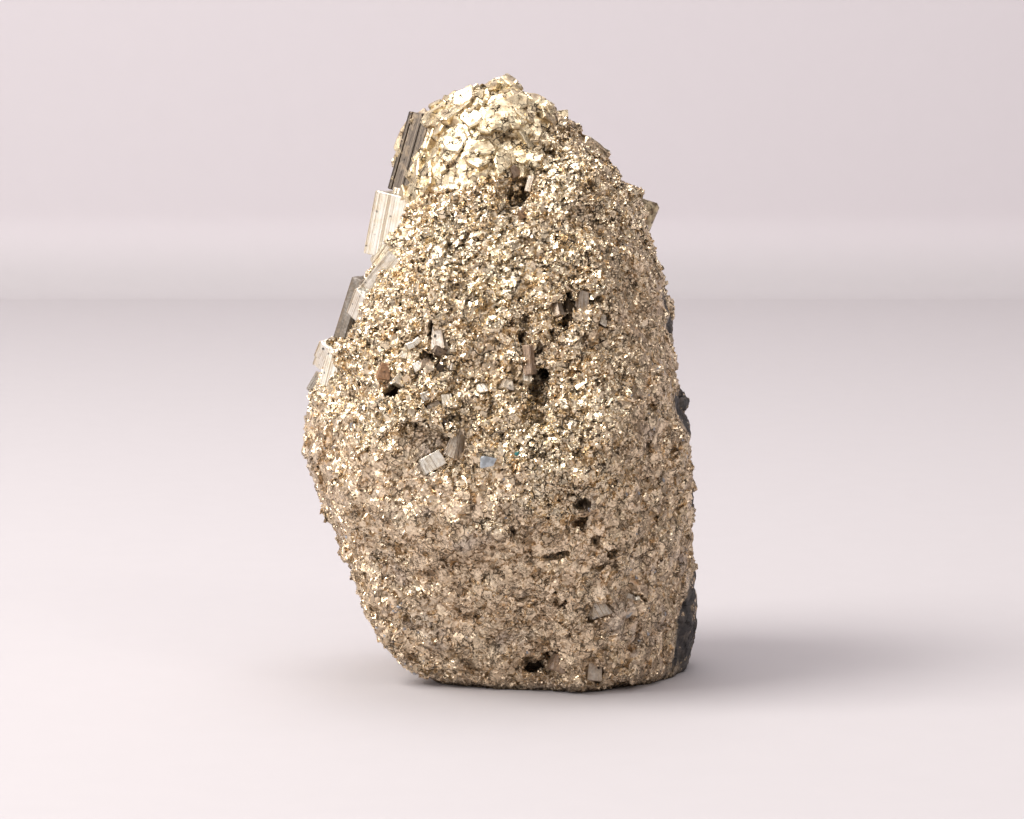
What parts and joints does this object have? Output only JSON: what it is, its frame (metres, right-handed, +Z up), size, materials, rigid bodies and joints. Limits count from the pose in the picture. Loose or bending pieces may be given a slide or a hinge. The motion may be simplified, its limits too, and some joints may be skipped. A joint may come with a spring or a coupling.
{
  "type": "pyrite specimen",
  "caption": "Natural pyrite specimen: an upright, tapering lump of grown-together brassy crystals with pits and striated blocky crystals along one edge, standing on its flat broad end.",
  "frame": {"origin": "bottom centre of the bounding box, in the plane of the flat place that the stone stands on", "axes": "+Z up along the stone's length, -Y towards its front, +X to its right as seen from the front"},
  "size_m": [0.053, 0.0474, 0.0792],
  "materials": {
    "pyrite": "metallic pale brass-yellow crystals in a sugary mass, bright on their flat faces, tarnished grey-brown between them and at the right edge, with a few grains of grey quartz"
  },
  "bodies": {
    "root": {"pyrite_mass": "pyrite"}
  },
  "joints": []
}
